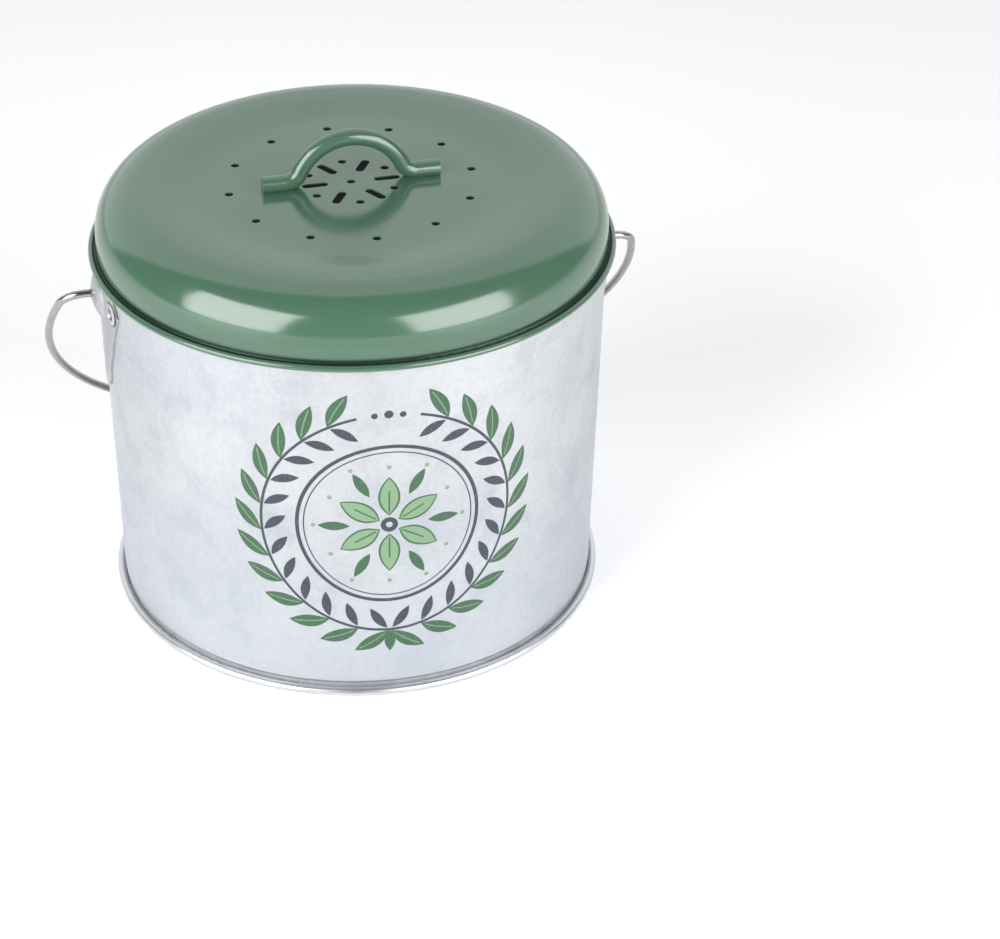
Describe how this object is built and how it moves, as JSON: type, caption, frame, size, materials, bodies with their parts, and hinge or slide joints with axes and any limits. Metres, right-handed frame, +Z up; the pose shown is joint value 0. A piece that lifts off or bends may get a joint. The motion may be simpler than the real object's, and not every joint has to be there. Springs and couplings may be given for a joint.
{
  "type": "compost_caddy_with_lift_off_lid",
  "caption": "Round galvanised steel kitchen compost pail with a wire bail, riveted ears and a green domed lift-off lid with vents, a rod handle and a charcoal filter",
  "frame": {"origin": "centre of the bounding box on the floor plane, where the pail's foot bead stands", "axes": "X runs through the two ears and along the bail's pivot axis, Y runs from the front of the pail to the back, where the lowered bail rests, and Z points up"},
  "size_m": [0.2756, 0.235, 0.223],
  "materials": {
    "galvanised_wall": "hot-dip galvanised sheet with a pale mottled spangle, semi-matt",
    "galvanised_fittings": "pressed galvanised sheet, semi-matt",
    "rivet_steel": "bright zinc-plated steel",
    "bright_wire": "bright drawn steel wire, glossy",
    "green_enamel": "glossy grey-green baked enamel",
    "charcoal_foam": "open-cell foam loaded with charcoal, matt"
  },
  "bodies": {
    "pail": {"body_wall": "galvanised_wall", "base_pan": "galvanised_wall", "ear_left": "galvanised_fittings", "ear_right": "galvanised_fittings", "rivet_left_front": "rivet_steel", "rivet_left_back": "rivet_steel", "rivet_right_front": "rivet_steel", "rivet_right_back": "rivet_steel"},
    "bail": {"bail_wire": "bright_wire"},
    "lid": {"lid_shell": "green_enamel", "lid_skirt": "green_enamel", "lid_handle": "green_enamel", "filter_holder": "green_enamel", "charcoal_filter": "charcoal_foam"}
  },
  "joints": [
    {"name": "bail_swing", "type": "hinge", "parent": "pail", "child": "bail", "pos_m": [0, 0, 0.1562], "axis": [1, 0, 0], "range_deg": [0, 281]},
    {"name": "lid_lift", "type": "slide", "parent": "pail", "child": "lid", "axis": [0, 0, 1], "range_m": [0, 0.1]}
  ]
}
